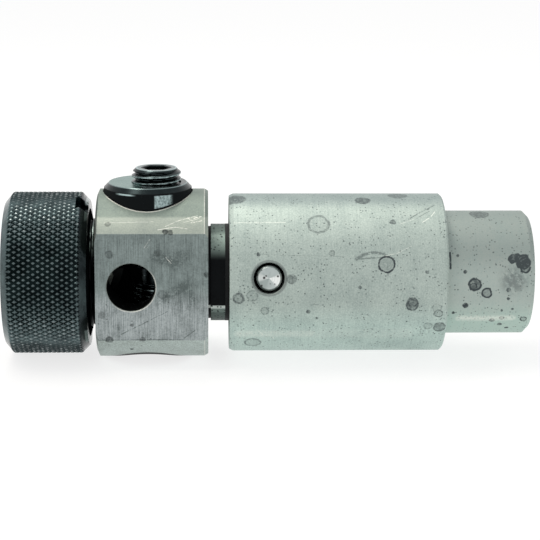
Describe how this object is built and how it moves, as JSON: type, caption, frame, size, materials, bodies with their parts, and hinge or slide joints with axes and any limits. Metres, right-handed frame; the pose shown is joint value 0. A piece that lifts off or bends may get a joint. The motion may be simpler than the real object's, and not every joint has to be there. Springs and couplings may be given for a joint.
{
  "type": "floating tap chuck",
  "caption": "Floating tap chuck: straight shank housing, sprung floating head with two square-gripping jaws, cross screw, collet and knurled nut.",
  "frame": {"origin": "on the axis of the shank, at the shoulder where the shank meets the housing", "axes": "+X along the shank to its free end, the tap leaves along -X, +Z along the jaw screw to its socket, the window faces -Y"},
  "size_m": [0.1055, 0.0326, 0.0386],
  "materials": {
    "bare_steel": "ground and turned, dull, with small stains",
    "pin_steel": "turned, bright end",
    "black_steel": "black oxide, slightly glossy",
    "bearing_steel": "hardened and ground",
    "spring_steel": "oiled spring steel",
    "cage_brass": "machined",
    "ring_rubber": "matte black rubber"
  },
  "bodies": {
    "housing_body": {"housing": "bare_steel", "thrust_screw": "black_steel", "lock_screw": "black_steel", "spring_seat": "bearing_steel", "disc_spring_1": "spring_steel", "disc_spring_2": "spring_steel", "disc_spring_3": "spring_steel", "disc_spring_4": "spring_steel"},
    "thrust_plate": {"rear_thrust_race": "bearing_steel"},
    "rolling_cage": {"ball_cage": "cage_brass", "thrust_balls": "bearing_steel"},
    "head": {"chuck_body": "bare_steel", "front_thrust_race": "bearing_steel", "drive_pin": "pin_steel", "centring_ring": "ring_rubber", "screw_locating_pin": "pin_steel"},
    "cross_screw": {"jaw_screw": "black_steel"},
    "top_jaw": {"upper_jaw": "black_steel"},
    "bottom_jaw": {"lower_jaw": "black_steel"},
    "collet_set": {"collet": "bearing_steel", "nut_thrust_ring": "bearing_steel"},
    "nut": {"clamping_nut": "black_steel", "nut_snap_ring": "spring_steel"}
  },
  "joints": [
    {"name": "float_x", "type": "slide", "parent": "housing_body", "child": "thrust_plate", "axis": [1, 0, 0], "range_m": [0, 0.0003], "stiffness_N_per_m": 150000, "springref_m": -0.0002, "deforming": ["disc_spring_1", "disc_spring_2", "disc_spring_3", "disc_spring_4"]},
    {"name": "float_y", "type": "slide", "parent": "thrust_plate", "child": "rolling_cage", "axis": [0, 1, 0], "range_m": [-0.0003, 0.0003], "stiffness_N_per_m": 60000},
    {"name": "float_z", "type": "slide", "parent": "rolling_cage", "child": "head", "axis": [0, 0, 1], "range_m": [-0.0003, 0.0003], "stiffness_N_per_m": 60000, "deforming": ["centring_ring"]},
    {"name": "jaw_screw_turn", "type": "hinge", "parent": "head", "child": "cross_screw", "pos_m": [-0.0576, 0, 0], "axis": [0, 0, 1], "range_deg": [-288.5, 1440.5]},
    {"name": "upper_jaw_slide", "type": "slide", "parent": "head", "child": "top_jaw", "axis": [0, 0, 1], "range_m": [-0.005, 0.001]},
    {"name": "lower_jaw_slide", "type": "slide", "parent": "head", "child": "bottom_jaw", "axis": [0, 0, 1], "range_m": [-0.00101, 0.00501]},
    {"name": "nut_advance", "type": "slide", "parent": "head", "child": "collet_set", "axis": [1, 0, 0], "range_m": [-0.002, 0.00025]},
    {"name": "nut_turn", "type": "hinge", "parent": "collet_set", "child": "nut", "pos_m": [-0.0794, 0, 0], "axis": [1, 0, 0], "range_deg": [-720.5, 90.5]}
  ],
  "couplings": [
    {"joint": "jaw_screw_turn", "follows": "upper_jaw_slide", "rad_per_m": -5026.5},
    {"joint": "lower_jaw_slide", "follows": "upper_jaw_slide", "ratio": -1},
    {"joint": "nut_turn", "follows": "nut_advance", "rad_per_m": 6283.2}
  ]
}
